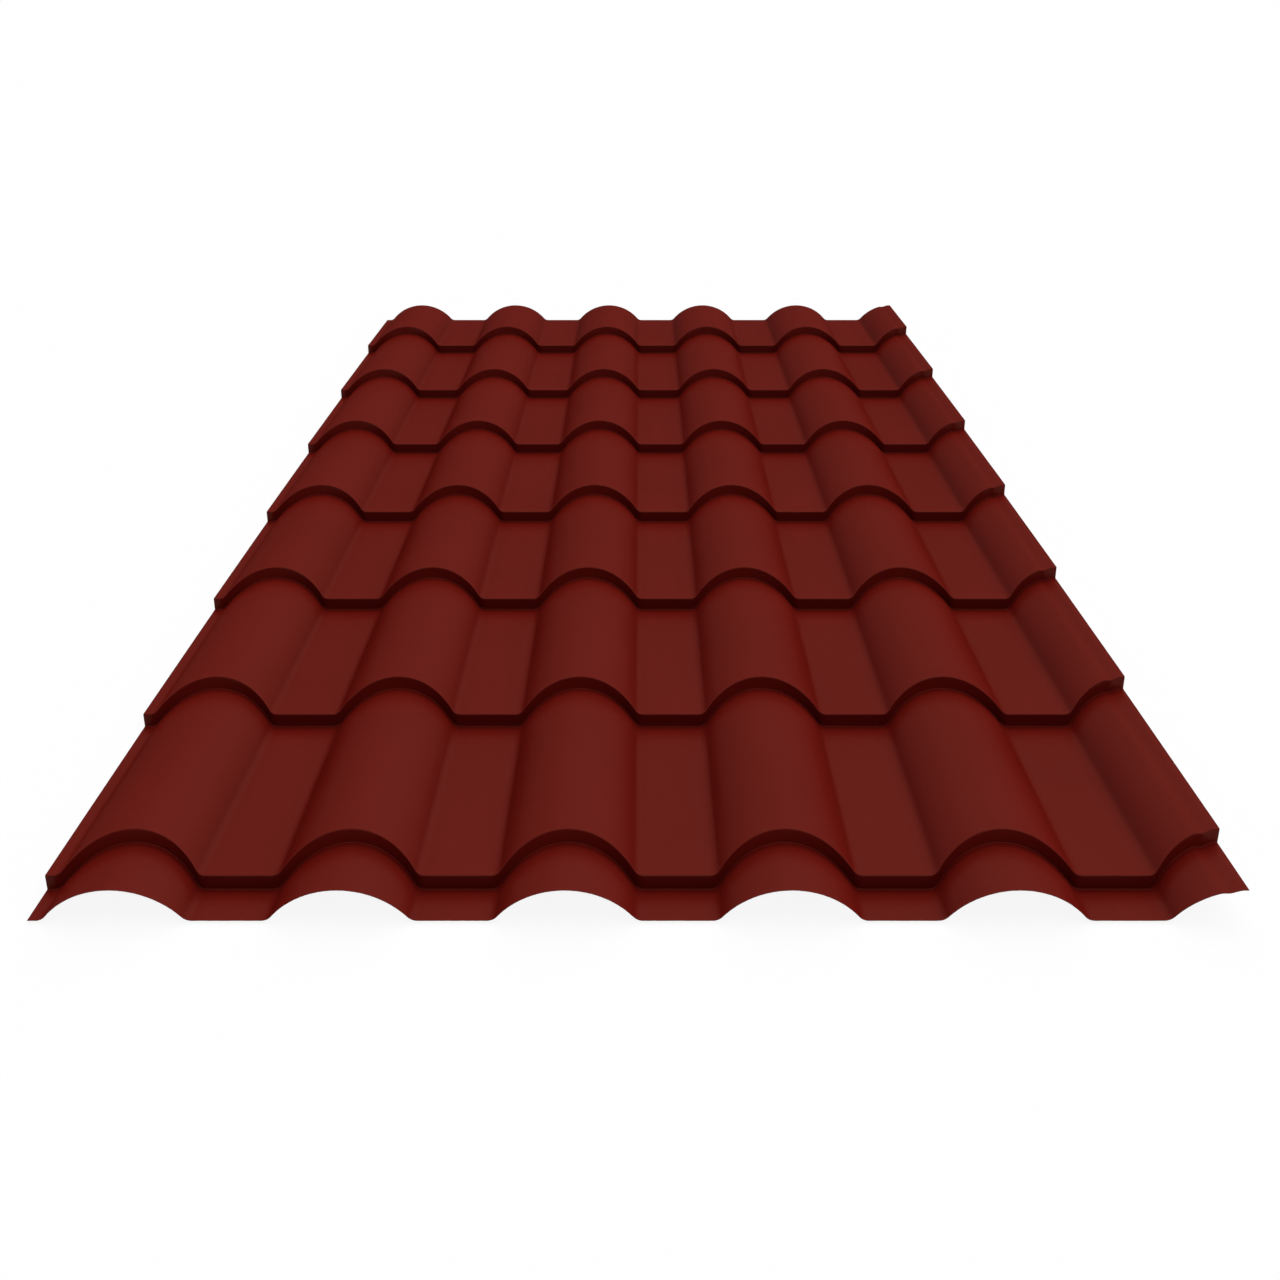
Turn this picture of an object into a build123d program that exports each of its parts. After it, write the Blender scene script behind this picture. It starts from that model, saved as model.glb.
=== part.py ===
# One stamped steel roof tile sheet: five arched waves and a half wave, stepped every tile course.
from build123d import *
from math import asin, atan2, cos, degrees, hypot, sin, sqrt
import os

os.makedirs("parts", exist_ok=True)

# The steel
sheet_thickness = 0.5

# The wave across the sheet
wave_pitch = 220.0
full_waves = 5
wave_height = 35.0
crest_radius = 88.0
foot_radius = 12.5
left_lip = 84.0
right_lip = 1.0

# The groove that stops water creeping under the side lap, measured from the last crest
groove_start = -24.5
groove_low = -16.5
groove_end = -6.0
groove_start_height = 31.6
groove_low_height = 31.5
groove_end_height = 34.8
groove_bend_radius = 15.0

# The tile courses up the slope
course_length = 350.0
risers = 7
step_height = 16.5
eaves_stub = 58.0
sheet_length = 2450.0

# How far the working blocks reach past the sheet before they are trimmed
side_spare = 5.0
end_spare = 15.0
outer_depth = 80.0
inner_depth = 100.0
trim_height = 400.0

# What follows from those sizes
last_crest = full_waves * wave_pitch
sheet_width = left_lip + last_crest + right_lip
left_edge = -left_lip
right_edge = last_crest + right_lip
fall = step_height / course_length
swing_radius = crest_radius + foot_radius
foot_reach = sqrt(wave_height * (2 * swing_radius - wave_height))
flank_angle = degrees(asin(foot_reach / swing_radius))
crest_centre_height = wave_height - crest_radius
middle_x = (left_edge + right_edge) / 2
middle_y = sheet_length / 2 - eaves_stub


# Where a straight of the groove, lifted square to itself, meets the lifted crest arc
def groove_meets_crest(start, end, lift, side):
    run = hypot(end[0] - start[0], end[1] - start[1])
    along = ((end[0] - start[0]) / run, (end[1] - start[1]) / run)
    across = (-along[1], along[0])
    reach = across[0] * (start[0] - last_crest) + across[1] * (start[1] - crest_centre_height) + lift
    half_chord = sqrt((crest_radius + lift) ** 2 - reach**2)
    x = last_crest + across[0] * reach + side * along[0] * half_chord
    y = crest_centre_height + across[1] * reach + side * along[1] * half_chord
    return (x, y)


# Where the two straights of the groove meet once both are lifted
def groove_bottom(start, low, end, lift):
    first = atan2(low[1] - start[1], low[0] - start[0])
    second = atan2(end[1] - low[1], end[0] - low[0])
    bisector = (first + second) / 2
    reach = lift / cos((second - first) / 2)
    return (low[0] - sin(bisector) * reach, low[1] + cos(bisector) * reach)


# The angle of a point as seen from the centre of the last crest arc
def crest_angle(point):
    return degrees(atan2(point[1] - crest_centre_height, point[0] - last_crest))


# Draw the wave from left to right, lifted square to its surface, and return its two ends and its sharp bends
def draw_wave(lift, left, right):
    first_foot = (-foot_reach, lift)
    Line((left, lift), first_foot)
    for wave in range(full_waves + 1):
        crest = wave * wave_pitch
        CenterArc((crest - foot_reach, foot_radius), foot_radius - lift, -90, flank_angle)
        if wave < full_waves:
            CenterArc((crest, crest_centre_height), crest_radius + lift, 90 - flank_angle, 2 * flank_angle)
            CenterArc((crest + foot_reach, foot_radius), foot_radius - lift, -90 - flank_angle, flank_angle)
            Line((crest + foot_reach, lift), (crest + wave_pitch - foot_reach, lift))
    start = (last_crest + groove_start, groove_start_height)
    low = (last_crest + groove_low, groove_low_height)
    end = (last_crest + groove_end, groove_end_height)
    into = groove_meets_crest(start, low, lift, -1)
    bottom = groove_bottom(start, low, end, lift)
    out = groove_meets_crest(low, end, lift, 1)
    CenterArc((last_crest, crest_centre_height), crest_radius + lift, crest_angle(into),
              90 + flank_angle - crest_angle(into))
    Line(into, bottom)
    Line(bottom, out)
    right_height = crest_centre_height + sqrt((crest_radius + lift) ** 2 - (right - last_crest) ** 2)
    right_end = (right, right_height)
    CenterArc((last_crest, crest_centre_height), crest_radius + lift, crest_angle(right_end),
              crest_angle(out) - crest_angle(right_end))
    ridge_radius = groove_bend_radius + lift
    hollow_radius = groove_bend_radius - lift
    bends = [(into, ridge_radius), (bottom, hollow_radius), (out, ridge_radius)]
    return (left, lift), right_end, bends


# Round each sharp bend of the outline that was just drawn
def round_bends(outline, bends):
    for bend, radius in bends:
        fillet(outline.vertices().sort_by_distance((bend[0], bend[1], 0))[0], radius)


# A solid block under one tile course: the wave run down the fall, cut to the curve of its riser
def draw_course(wave_lift, riser_lift, left, right, depth):
    top_of_riser = (0, -end_spare, step_height + fall * end_spare)
    wave_plane = Plane(origin=top_of_riser, x_dir=(1, 0, 0), z_dir=(0, -1, fall))
    back = course_length + wave_height + end_spare
    with BuildPart() as course:
        with BuildSketch(wave_plane) as section:
            with BuildLine():
                start, end, bends = draw_wave(wave_lift, left, right)
                Polyline(end, (right, -depth), (left, -depth), start)
            make_face()
            round_bends(section, bends)
        extrude(amount=-(back + 2 * end_spare))
        with BuildSketch(Plane.XY) as plan:
            with BuildLine():
                start, end, bends = draw_wave(riser_lift, left - side_spare, right + side_spare)
                Polyline(end, (right + side_spare, back), (left - side_spare, back), start)
            make_face()
            round_bends(plan, bends)
        extrude(amount=trim_height / 2, both=True, mode=Mode.INTERSECT)
    return course.part


# The underside lies one thickness below the top face, and its risers one thickness further up the slope
outer_course = draw_course(0.0, 0.0, left_edge, right_edge, outer_depth)
inner_course = draw_course(-sheet_thickness, sheet_thickness, left_edge - side_spare, right_edge + side_spare,
                           inner_depth)

# One course for each riser, and one more below the first riser for the eaves stub
course_spots = [(-middle_x, n * course_length - middle_y, sheet_thickness) for n in range(-1, risers)]

# Everything below the top face of the sheet, cut square at the eaves and the ridge
with BuildPart() as outer:
    with Locations(*course_spots):
        add(outer_course)
    Box(sheet_width + 2 * side_spare, sheet_length, trim_height, mode=Mode.INTERSECT)

# Everything below the underside of the sheet
with BuildPart() as inner:
    with Locations(*course_spots):
        add(inner_course)

# The sheet is what lies between the two
with BuildPart() as tile_sheet:
    add(outer.part)
    add(inner.part, mode=Mode.SUBTRACT)
tile_sheet.part.label = "tile_sheet"

export_step(tile_sheet.part, "parts/tile_sheet.step")
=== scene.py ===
# %% [markdown]
# This scene dresses one stamped steel roof tile sheet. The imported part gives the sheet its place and
# outer size. Blender adds what the plain solid leaves out: the small bends at the top and foot of
# every pressed step, and the painted, backed and sheared surfaces.

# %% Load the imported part
import math

import bpy
import numpy as np
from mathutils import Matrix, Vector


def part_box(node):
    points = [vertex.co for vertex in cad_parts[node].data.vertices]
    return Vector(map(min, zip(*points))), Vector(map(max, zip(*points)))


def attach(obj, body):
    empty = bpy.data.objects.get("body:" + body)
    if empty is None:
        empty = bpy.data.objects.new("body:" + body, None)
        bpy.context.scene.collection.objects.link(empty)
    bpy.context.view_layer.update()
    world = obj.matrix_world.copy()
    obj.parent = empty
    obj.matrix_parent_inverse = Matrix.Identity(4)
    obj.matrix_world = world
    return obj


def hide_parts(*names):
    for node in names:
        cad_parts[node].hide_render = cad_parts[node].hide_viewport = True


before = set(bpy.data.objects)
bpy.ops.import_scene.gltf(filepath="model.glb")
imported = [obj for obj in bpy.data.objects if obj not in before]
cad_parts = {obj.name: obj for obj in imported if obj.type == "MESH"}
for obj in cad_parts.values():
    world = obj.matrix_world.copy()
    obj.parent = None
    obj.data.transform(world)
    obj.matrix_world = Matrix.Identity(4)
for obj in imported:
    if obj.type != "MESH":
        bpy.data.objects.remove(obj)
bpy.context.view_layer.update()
sheet_low, sheet_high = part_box("tile_sheet")
print("sheet", [round(v, 4) for v in sheet_high - sheet_low])

# %% [markdown]
# The real sheet is rolled into waves and then pressed, one tile course at a time, so that every
# course ends in a step. A few driving sizes describe all of it, in metres. Its four edges are read
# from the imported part, so that both models always agree, and the rest is counted from them: the
# crests from the left-hand edge, and the step faces, called risers, from the eaves.

# %% The sheet's edges and waves
thickness = 0.0005
pitch = 0.220
full_waves = 5
left_lip = 0.084
eaves_stub = 0.058

left_edge, right_edge = sheet_low.x, sheet_high.x
front_edge, back_edge = sheet_low.y, sheet_high.y
first_crest = left_edge + left_lip
last_crest = first_crest + full_waves * pitch
first_riser = front_edge + eaves_stub
pan_level = sheet_low.z + thickness
print("first crest", round(first_crest, 4), "last crest", round(last_crest, 4))

# %% [markdown]
# Across the sheet, each wave is one large arc over the crest with a small hollow arc at each foot,
# and then a flat pan. Exact arcs keep the pans truly flat, which a sine curve would not, and flat
# pans are what makes this profile look like pressed tiles. Points held a small gap beside each arc
# keep smooth shading on the arc and off the flat.

# %% The wave across the sheet
wave_height = 0.035
crest_radius = 0.088
foot_radius = 0.0125
hold_gap = 0.0012

swing = crest_radius + foot_radius
foot_reach = math.sqrt(wave_height * (2 * swing - wave_height))
flank = math.asin(foot_reach / swing)
crest_centre = wave_height - crest_radius
pan_places = np.array([0, hold_gap, 0.004, 0.009, 0.016])


def crest_arc(crest, start, end, parts):
    """Points over a crest, from one angle off the vertical to another."""
    return [(crest + crest_radius * math.sin(a), crest_centre + crest_radius * math.cos(a))
            for a in np.linspace(start, end, parts + 1)]


def foot_arc(crest, side, parts):
    """Points of the hollow arc at a wave's foot, on its left (-1) or right (1), without its two ends."""
    angles = np.linspace(0, flank, parts + 1)[1:-1]
    points = [(crest + side * (foot_reach - foot_radius * math.sin(a)), foot_radius * (1 - math.cos(a)))
              for a in angles]
    return points if side < 0 else points[::-1]


def pan_flat(left, right):
    """Points along a flat pan, closer together near both of its ends."""
    places = [*(left + pan_places), (left + right) / 2, *(right - pan_places)[::-1]]
    return [(x, 0.0) for x in places]


print("foot reach", round(foot_reach, 5), "flank angle", round(math.degrees(flank), 2))

# %% [markdown]
# A bent sheet is drawn as a line of straights and arcs, as a sheet metal worker would draw it. This
# helper walks a list of corners and rounds every inner one to the same radius. A Bevel modifier could
# do it later, but here the bends run along curves, so it is simpler to have them in the line.

# %% A line with rounded corners
def turned(vector, angle):
    """A plane vector turned by an angle."""
    c, s = math.cos(angle), math.sin(angle)
    return np.array([c * vector[0] - s * vector[1], s * vector[0] + c * vector[1]])


def rounded_line(corners, radius, parts):
    """Points of a line whose inner corners are arcs of one radius, each in a number of parts."""
    corners = [np.array(c, float) for c in corners]
    line = [corners[0]]
    for before, corner, after in zip(corners, corners[1:], corners[2:]):
        back = (before - corner) / np.linalg.norm(before - corner)
        ahead = (after - corner) / np.linalg.norm(after - corner)
        half = math.acos(back @ ahead) / 2
        middle = (back + ahead) / np.linalg.norm(back + ahead)
        centre = corner + middle * radius / math.sin(half)
        start = corner + back * radius / math.tan(half) - centre
        end = corner + ahead * radius / math.tan(half) - centre
        turn = math.atan2(start[0] * end[1] - start[1] * end[0], start @ end)
        line += [centre + turned(start, turn * i / parts) for i in range(parts + 1)]
    line.append(corners[-1])
    return [tuple(point) for point in line]


print("points of a square corner", len(rounded_line([(0, 0), (1, 0), (1, 1)], radius=0.1, parts=4)))

# %% [markdown]
# The half wave at the right-hand edge carries a shallow groove that stops water creeping sideways
# under the lap. It is pressed in along the whole length, with softly rounded bends, and it starts and
# ends on the crest arc itself. Its places are counted from the crest's middle line.

# %% The groove at the side lap
groove_corners = [(-0.0245, 0.0316), (-0.0165, 0.0315), (-0.006, 0.0348)]
groove_radius = 0.015
groove_from, groove_to = -0.029, 0.001


def on_crest(x):
    """The point of the crest arc at a distance from the crest's middle line."""
    return (x, crest_centre + math.sqrt(crest_radius**2 - x**2))


groove = rounded_line([on_crest(groove_from), *groove_corners, on_crest(groove_to)], groove_radius,
                      parts=5)
print("points of the groove", len(groove))

# %% [markdown]
# The whole section is now strung together from left to right: the lip, five full waves with their
# pans, and the half wave with the groove. Drawing it as one line of points, instead of repeating a
# wave with an Array modifier, leaves no seams to merge.

# %% The section across the sheet
foot_parts = 6
crest_parts = 24
half_crest_parts = 8
groove_gap = 0.0005

section = [(left_edge, 0.0), (left_edge + hold_gap, 0.0), (first_crest - foot_reach - hold_gap, 0.0),
           (first_crest - foot_reach, 0.0)]
for wave in range(full_waves):
    crest = first_crest + wave * pitch
    section += foot_arc(crest, -1, foot_parts)
    section += crest_arc(crest, -flank, flank, crest_parts)
    section += foot_arc(crest, 1, foot_parts)
    section += pan_flat(crest + foot_reach, crest + pitch - foot_reach)
section += foot_arc(last_crest, -1, foot_parts)
arc_end = math.asin((groove_from - groove_gap) / crest_radius)
section += crest_arc(last_crest, -flank, arc_end, half_crest_parts)
section += [(last_crest + x, z) for x, z in groove]
across_x, across_z = np.array(section).T
print("points across", len(section), "highest", round(float(across_z.max()), 4))

# %% [markdown]
# Up the slope the sheet is a saw: each course falls gently towards the ridge and then jumps up at a
# riser. Pressing leaves a small bend at the top and foot of every riser, and the thin soft line that
# it makes is what tells pressed steel from folded card. One saw line serves every point across the
# sheet, because each riser follows the wave in plan. Its points crowd together just below a riser,
# where the shade changes fastest.

# %% The saw line up the slope
course = 0.350
risers = 7
step = 0.0165
fall = step / course
bend_radius = 0.0012
bend_parts = 4
below_riser = np.array([0.060, 0.040, 0.026, 0.017, 0.011, 0.007, 0.004])


def riser_points(foot):
    """Run and height over one riser: a held point, foot bend, face, top bend and a held point."""
    reach = bend_radius + hold_gap
    return rounded_line([(foot - reach, fall * reach), (foot, 0.0), (foot, step),
                         (foot + reach, step - fall * reach)], bend_radius, bend_parts)


saw = riser_points(0)
for index in range(1, risers):
    foot = index * course
    saw += [(foot - away, fall * away) for away in below_riser]
    saw += riser_points(foot)
last_foot = foot
print("points up the slope", len(saw))

# %% [markdown]
# The top face is the wave moved along the saw line. Each point also moves up the slope by its own
# height on the wave, which sets a crest's riser back behind the pans at forty-five degrees, as the
# press tool does. Both ends of the sheet are sheared straight across, so there the rows spread out
# to reach one straight line.

# %% The top face
front_shares = [0, 0.35, 0.6, 0.78, 0.9, 0.96]
back_shares = [0.35, 0.7, 1]
front_run = -eaves_stub - across_z
back_run = back_edge - first_riser - across_z

rows = []
for share in front_shares:
    run = (1 - share) * front_run + share * saw[0][0]
    rows.append((run, -fall * run))
for run, height in saw:
    rows.append((np.full_like(across_x, run), np.full_like(across_x, height)))
for share in back_shares:
    run = (1 - share) * saw[-1][0] + share * back_run
    rows.append((run, step - fall * (run - last_foot)))
runs, heights = np.array(rows).transpose(1, 0, 2)
top = np.stack([
    np.broadcast_to(across_x, runs.shape),
    first_riser + runs + across_z,
    pan_level + (1 - fall) * across_z + heights,
], axis=-1)
print("rows and columns", top.shape[:2], "highest", round(float(top[..., 2].max()), 5))

# %% [markdown]
# A real sheet has one thickness everywhere, so the underside is the top face moved inwards along its
# own normals. Doing this on the grid, instead of with a Solidify modifier, keeps each point paired
# with the one below it, so the sheared edges become clean strips with a material of their own.

# %% The underside
normal = np.cross(np.gradient(top, axis=1), np.gradient(top, axis=0))
normal /= np.linalg.norm(normal, axis=-1, keepdims=True)
under = top - normal * thickness
under[:, 0, 0], under[:, -1, 0] = left_edge, right_edge
under[0, :, 1], under[-1, :, 1] = front_edge, back_edge
under[..., 2] = np.maximum(under[..., 2], sheet_low.z)

number = np.arange(top.shape[0] * top.shape[1]).reshape(top.shape[:2])
below = number + number.size
print("points on each face", number.size)

# %% [markdown]
# The mesh is one closed skin: the painted top, the underside, and a strip of sheared steel all the
# way round. Each face gets the number of its finish here, while it is still known which face is
# which.

# %% The faces of the mesh
top_coat, backing, cut_edge = 0, 1, 2


def strip(edge, edge_below):
    """Faces between a line of top points and the points under it."""
    return np.stack([edge[:-1], edge_below[:-1], edge_below[1:], edge[1:]], -1)


top_faces = np.stack([number[:-1, :-1], number[:-1, 1:], number[1:, 1:], number[1:, :-1]], -1)
top_faces = top_faces.reshape(-1, 4)
under_faces = top_faces[:, ::-1] + number.size
edge_faces = np.concatenate([
    strip(number[0], below[0]),
    strip(number[:, -1], below[:, -1]),
    strip(number[-1, ::-1], below[-1, ::-1]),
    strip(number[::-1, 0], below[::-1, 0]),
])
points = np.concatenate([top.reshape(-1, 3), under.reshape(-1, 3)])
faces = np.concatenate([top_faces, under_faces, edge_faces])
finish_number = np.repeat([top_coat, backing, cut_edge],
                          [len(top_faces), len(under_faces), len(edge_faces)])
print("faces", len(faces), "of them on the cut edges", len(edge_faces))

# %% [markdown]
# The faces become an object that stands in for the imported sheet. A formed sheet shades smoothly over
# its waves, while its cut edges are flat. The edges round the rim are marked sharp, or smooth shading
# would bend the light along every cut.

# %% The sheet
mesh = bpy.data.meshes.new("tile_sheet_pressed")
mesh.from_pydata(points.tolist(), [], faces.tolist())
mesh.polygons.foreach_set("material_index", finish_number)
mesh.polygons.foreach_set("use_smooth", finish_number != cut_edge)

rim_points = np.zeros(top.shape[:2], bool)
rim_points[[0, -1]] = rim_points[:, [0, -1]] = True
edge_ends = np.empty(2 * len(mesh.edges), int)
mesh.edges.foreach_get("vertices", edge_ends)
rim_edges = np.tile(rim_points.ravel(), 2)[edge_ends].reshape(-1, 2).all(axis=1)
mesh.edges.foreach_set("use_edge_sharp", rim_edges)
mesh.update()

sheet = bpy.data.objects.new("tile_sheet_pressed", mesh)
bpy.context.scene.collection.objects.link(sheet)
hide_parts("tile_sheet")
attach(sheet, "root")
print("sharp edges", int(rim_edges.sum()), "mended by validate:", mesh.validate())

# %% [markdown]
# The red is painted a little darker where the sheet shades itself: on the risers, in the folds at the
# foot of the waves, and low in the pans. This is painted shade. An Ambient Occlusion node could find
# such places, but it costs many rays and is grainy. The shape is known here, so the painted shade is
# worked out for every point and stored on the mesh, where the top coat can read it.

# %% The painted shade
fold_shade_inset = 0.009
fold_shade_reach = 0.007
fold_shade_depth = 0.5
pan_shade_depth = 0.08
crest_relief = 0.5

to_fold = np.full_like(across_x, pitch)
for wave in range(full_waves):
    right_fold = first_crest + wave * pitch + foot_reach - fold_shade_inset
    next_left_fold = first_crest + (wave + 1) * pitch - foot_reach + fold_shade_inset
    to_fold = np.minimum(to_fold, abs(across_x - right_fold))
    to_fold = np.minimum(to_fold, abs(across_x - next_left_fold))

# Painted shade: darker in the folds, low in the pans and on the risers, with less on a riser at the
# crest.
fold_shade = fold_shade_depth * np.exp(-to_fold / fold_shade_reach)
pan_shade = pan_shade_depth * (1 - across_z / wave_height) ** 2
riser_shade = np.clip(-normal[..., 1], 0, 1) * (1 - crest_relief * across_z / wave_height)
painted_shade = 1 - (1 - fold_shade) * (1 - pan_shade) * (1 - riser_shade)
stored = mesh.attributes.new("painted_shade", "FLOAT", "POINT")
stored.data.foreach_set("value", np.concatenate([painted_shade.ravel(), np.zeros(number.size)]))
print("mean shelter", round(float(painted_shade.mean()), 3))

# %% [markdown]
# Patterns in a material are sums, so this small class lets a socket be used like a number. An
# expression such as drift * 0.5 + grain * 0.2 then adds its own Math nodes, whichever side the number
# is on. Every other node comes from the one method that takes the node's type, its settings and its
# sockets.

# %% A socket that can be added and multiplied
class Wire:
    """One output of a node in a material, with the arithmetic that the materials here use."""

    def __init__(self, tree, socket):
        self.tree = tree
        self.socket = socket

    @classmethod
    def node(cls, tree, kind, settings=None, sockets=None, output=0):
        """Adds a node, sets it, then fills or links its sockets, and returns one of its outputs."""
        made = tree.nodes.new(kind)
        for name, value in (settings or {}).items():
            if name == "stops":
                for stop, (place, colour) in zip(made.color_ramp.elements, value):
                    stop.position = place
                    stop.color = colour
            else:
                setattr(made, name, value)
        for name, value in (sockets or {}).items():
            if isinstance(value, cls):
                tree.links.new(value.socket, made.inputs[name])
            else:
                made.inputs[name].default_value = value
        return cls(tree, made.outputs[output])

    def maths(self, operation, first, second):
        """Adds a Math node on two values, of which at least one is a wire."""
        return self.node(self.tree, "ShaderNodeMath", {"operation": operation}, {0: first, 1: second})

    def __add__(self, other):
        return self.maths("ADD", self, other)

    def __radd__(self, other):
        return self.maths("ADD", other, self)

    def __mul__(self, other):
        return self.maths("MULTIPLY", self, other)

    def __rmul__(self, other):
        return self.maths("MULTIPLY", other, self)

    def feed(self, socket):
        """Links this output to a socket of a shader."""
        self.tree.links.new(self.socket, socket)


# %% [markdown]
# Each finish starts as a new material whose fixed values sit on the shader itself. They are the same
# all over the surface, so they need no nodes, and they survive an export to other programs. Noise
# gives every finish its pattern: it is fixed to the sheet, so it needs no unwrapping.

# %% A new finish and its patterns
def new_finish(name, metallic, specular):
    """A new material on the sheet, with its node tree and its shader."""
    made = bpy.data.materials.new(name)
    made.use_nodes = True
    shader = made.node_tree.nodes["Principled BSDF"]
    shader.inputs["Metallic"].default_value = metallic
    shader.inputs["Specular IOR Level"].default_value = specular
    sheet.data.materials.append(made)
    return made.node_tree, shader


def speckle(tree, scale, detail, stretch=(1, 1, 1)):
    """Noise fixed to the sheet, with a number of spots to the metre, that can be drawn out one way."""
    place = Wire.node(tree, "ShaderNodeTexCoord", output="Object")
    drawn = Wire.node(tree, "ShaderNodeMapping", sockets={"Vector": place, "Scale": stretch})
    return Wire.node(tree, "ShaderNodeTexNoise",
                     sockets={"Vector": drawn, "Scale": scale, "Detail": detail})


def two_tone(tree, pattern, first, second):
    """A ramp that turns a pattern into a colour, from one place and colour to another."""
    return Wire.node(tree, "ShaderNodeValToRGB", {"stops": [first, second]}, {"Fac": pattern})


def bumps(tree, height, strength, distance):
    """Small bumps for a shader's normal, from a height pattern."""
    return Wire.node(tree, "ShaderNodeBump",
                     sockets={"Height": height, "Strength": strength, "Distance": distance})


# %% [markdown]
# The top coat is a matt polyester enamel, baked on before the sheet was pressed. Its red is nearly even,
# and what makes it look real is small: a slow drift of tone, faint streaks along the sheet from the
# coating roller, a fine grain that breaks up the sheen, and a little orange peel in the bump. A Mix node
# adds painted shade, turning the red darker where the stored painted shade is high.

# %% The red top coat
deep_red = (0.124, 0.0062, 0.0037, 1)
pale_red = (0.135, 0.0072, 0.0045, 1)
# A darker red for painted shade on the risers, in the folds and low in the pans.
painted_shade_red = (0.095, 0.0048, 0.0030, 1)

tree, shader = new_finish("oxide_red_enamel", metallic=0.0, specular=0.0)
drift = speckle(tree, scale=5.0, detail=2.0)
streaks = speckle(tree, scale=60.0, detail=2.0, stretch=(1, 0.02, 1))
grain = speckle(tree, scale=900.0, detail=2.0)
peel = speckle(tree, scale=240.0, detail=1.0)

open_red = two_tone(tree, drift * 0.5 + streaks * 0.3 + grain * 0.2, (0.35, deep_red), (0.65, pale_red))
# Painted shade: the stored shade mixes the red towards the darker red.
painted_shade_share = Wire.node(tree, "ShaderNodeAttribute", {"attribute_name": "painted_shade"}, output="Fac")
share_socket, first_colour, second_colour, mixed_colour = 0, 6, 7, 2
red = Wire.node(tree, "ShaderNodeMix", {"data_type": "RGBA"},
                {share_socket: painted_shade_share, first_colour: open_red, second_colour: painted_shade_red},
                output=mixed_colour)
red.feed(shader.inputs["Base Color"])

unevenness = grain * 0.10 + drift * 0.06
(unevenness + 0.55).feed(shader.inputs["Roughness"])
orange_peel = bumps(tree, peel * 0.6 + grain * 0.4, strength=0.06, distance=0.0005)
orange_peel.feed(shader.inputs["Normal"])
print("nodes in the red coat", len(tree.nodes))

# %% [markdown]
# The enamel has a faint white sheen. It makes the red paler wherever a face mirrors the open sky, and
# leaves it deep where a face mirrors more red steel, as just below a step or low on a wave. The
# specular of the shader itself grows at grazing angles and would grey the far end of the sheet. A
# small share of a warm white mirror is the same from every angle, as in the photograph, and is mixed
# in instead.

# %% The sheen of the red top coat
sheen_share = 0.0073
warm_white = (1.0, 1.0, 0.8, 1)

sheen = Wire.node(tree, "ShaderNodeBsdfPrincipled", sockets={
    "Base Color": warm_white, "Metallic": 1.0, "Roughness": unevenness + 0.23, "Normal": orange_peel})
matt_red = Wire(tree, shader.outputs["BSDF"])
enamel = Wire.node(tree, "ShaderNodeMixShader", sockets={0: sheen_share, 1: matt_red, 2: sheen})
enamel.feed(tree.nodes["Material Output"].inputs["Surface"])
print("share of sheen", sheen_share)

# %% [markdown]
# The underside carries only a thin backing coat, a pale grey epoxy, more open in grain and duller than
# the top. The photograph doesn't show it, but it is what such sheets have, and it is seen when the
# sheet is turned over on the roof. A soft cloud and a fine speck keep it from looking like plastic.

# %% The grey backing coat
dark_grey = (0.385, 0.39, 0.385, 1)
pale_grey = (0.425, 0.43, 0.42, 1)

tree, shader = new_finish("grey_backing_coat", metallic=0.0, specular=0.3)
cloud = speckle(tree, scale=9.0, detail=4.0)
speck = speckle(tree, scale=700.0, detail=2.0)
grey = two_tone(tree, cloud * 0.6 + speck * 0.4, (0.35, dark_grey), (0.65, pale_grey))
grey.feed(shader.inputs["Base Color"])
(speck * 0.12 + 0.58).feed(shader.inputs["Roughness"])
bumps(tree, speck, strength=0.05, distance=0.0004).feed(shader.inputs["Normal"])
print("nodes in the backing coat", len(tree.nodes))

# %% [markdown]
# Where the shears cut the sheet, half a millimetre of bare metal shows: a dull zinc line with the
# paint dragged a little way over it. It is thin, but it is what makes the edge read as steel.

# %% The sheared edge
dragged_paint = (0.10, 0.012, 0.009, 1)
dull_zinc = (0.24, 0.22, 0.21, 1)

tree, shader = new_finish("sheared_zinc_edge", metallic=1.0, specular=0.5)
drag = speckle(tree, scale=220.0, detail=3.0)
metal = two_tone(tree, drag, (0.45, dragged_paint), (0.62, dull_zinc))
metal.feed(shader.inputs["Base Color"])
(drag * 0.2 + 0.45).feed(shader.inputs["Roughness"])
print("nodes in the edge", len(tree.nodes))

# %% [markdown]
# The sheet lies on a plain white floor. To the camera, and in reflections, the floor mostly shows as
# paper white, and the part that is a real matt floor takes the sheet's soft shadow. Mixing the two by
# the kind of ray keeps the background white without putting more light on the sheet.

# %% The floor
floor_reach = 60.0
clearance = 0.0002
paper_share = 0.90
matt_white = (0.98, 0.98, 0.98, 1)
full_white = (1, 1, 1, 1)


def white_to_the_eye(tree):
    """1 for rays from the camera and for those seen in gloss or through glass, 0 for other rays."""
    rays = [Wire.node(tree, "ShaderNodeLightPath", output=name)
            for name in ("Is Camera Ray", "Is Glossy Ray", "Is Transmission Ray")]
    return rays[0] + rays[1] + rays[2]


corners = [(x * floor_reach, y * floor_reach, 0) for x, y in ((-1, -1), (1, -1), (1, 1), (-1, 1))]
floor_mesh = bpy.data.meshes.new("floor")
floor_mesh.from_pydata(corners, [], [(0, 1, 2, 3)])
floor = bpy.data.objects.new("floor", floor_mesh)
floor.location.z = sheet_low.z - clearance
bpy.context.scene.collection.objects.link(floor)

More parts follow.
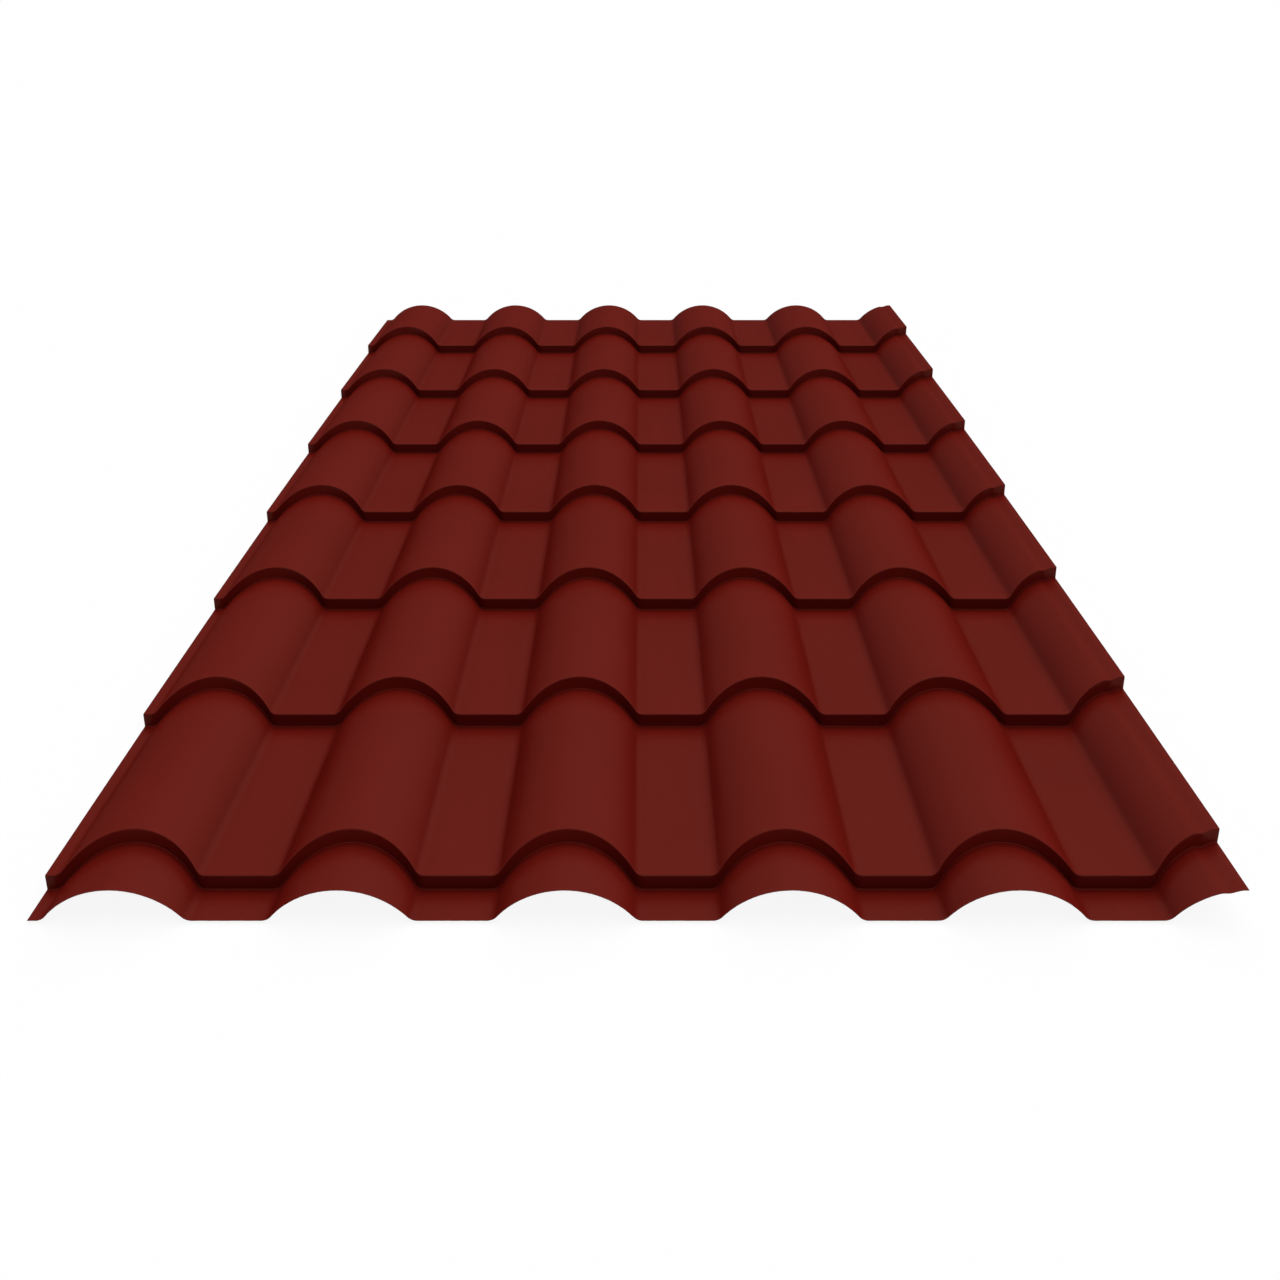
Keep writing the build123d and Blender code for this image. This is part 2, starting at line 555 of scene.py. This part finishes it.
paper = bpy.data.materials.new("white_paper")
paper.use_nodes = True
tree = paper.node_tree
tree.nodes.remove(tree.nodes["Principled BSDF"])
matt = Wire.node(tree, "ShaderNodeBsdfDiffuse", sockets={"Color": matt_white})
glow = Wire.node(tree, "ShaderNodeEmission", sockets={"Color": full_white, "Strength": 1.0})
floor_look = Wire.node(tree, "ShaderNodeMixShader",
                       sockets={0: white_to_the_eye(tree) * paper_share, 1: matt, 2: glow})
floor_look.feed(tree.nodes["Material Output"].inputs["Surface"])
floor.data.materials.append(paper)
print("floor at", round(floor.location.z, 5))

# %% [markdown]
# The sky is two skies in one: white where it is looked at or mirrored, and only a weak even fill
# where it lights the sheet, so that the lamps decide the shading.

# %% The sky
fill_strength = 0.045

sky = bpy.data.worlds.new("studio_sky")
sky.use_nodes = True
bpy.context.scene.world = sky
tree = sky.node_tree
tree.nodes.remove(tree.nodes["Background"])
fill = Wire.node(tree, "ShaderNodeBackground", sockets={"Color": full_white, "Strength": fill_strength})
white = Wire.node(tree, "ShaderNodeBackground", sockets={"Color": full_white, "Strength": 1.0})
sky_look = Wire.node(tree, "ShaderNodeMixShader", sockets={0: white_to_the_eye(tree), 1: fill, 2: white})
sky_look.feed(tree.nodes["World Output"].inputs["Surface"])
print("fill of the sky", fill_strength)

# %% [markdown]
# The light in the photograph is soft. Most of it comes from above and behind, and a little from low
# down in front on either side, so the risers turn dark while every pan and crest stays evenly lit.
# Each softbox is a Sun with a very wide angle, which gives the same soft light all along a sheet of
# any length. Height, bearing and spread are in degrees, with the bearing counted from the right-hand
# side towards the ridge. The softboxes are kept out of the gloss, so that the sheen mirrors an even
# white room.

# %% The softboxes
def softbox(name, height, bearing, strength, spread):
    """A wide Sun from a height above the floor and a bearing. Returns the light it gives the floor."""
    data = bpy.data.lights.new(name, "SUN")
    data.energy = strength
    data.angle = math.radians(spread)
    lamp = bpy.data.objects.new(name, data)
    lamp.rotation_euler = (math.radians(90 - height), 0.0, math.radians(bearing + 90))
    lamp.visible_glossy = False
    bpy.context.scene.collection.objects.link(lamp)
    return strength * math.sin(math.radians(height)) / math.pi


level = fill_strength
level += softbox("overhead_softbox", height=74, bearing=10, strength=1.51, spread=70)
level += softbox("back_softbox", height=45, bearing=82, strength=1.42, spread=60)
level += softbox("low_back_softbox", height=20, bearing=70, strength=0.43, spread=50)
level += softbox("front_right_fill", height=20, bearing=330, strength=0.60, spread=50)
level += softbox("front_left_fill", height=20, bearing=210, strength=0.41, spread=50)
print("light level on the floor", round(level, 3))

# %% [markdown]
# The photograph looks along the sheet from the eaves through an ordinary lens. The camera stands
# almost on the sheet's middle line and looks down by about twenty-five degrees.

# %% The camera
look_down = 24.845
camera_place = (0.0045, -2.5241, 0.9057)

camera_data = bpy.data.cameras.new("camera")
camera_data.sensor_width = 36.0
camera_data.lens = 45.0
camera_data.clip_end = 200.0
camera = bpy.data.objects.new("camera", camera_data)
camera.location = camera_place
camera.rotation_euler = (math.radians(90 - look_down), 0.0, 0.0)
bpy.context.scene.collection.objects.link(camera)
bpy.context.scene.camera = camera
bpy.context.scene.view_settings.view_transform = "Standard"
print("camera to the eaves", round(front_edge - camera_place[1], 3))
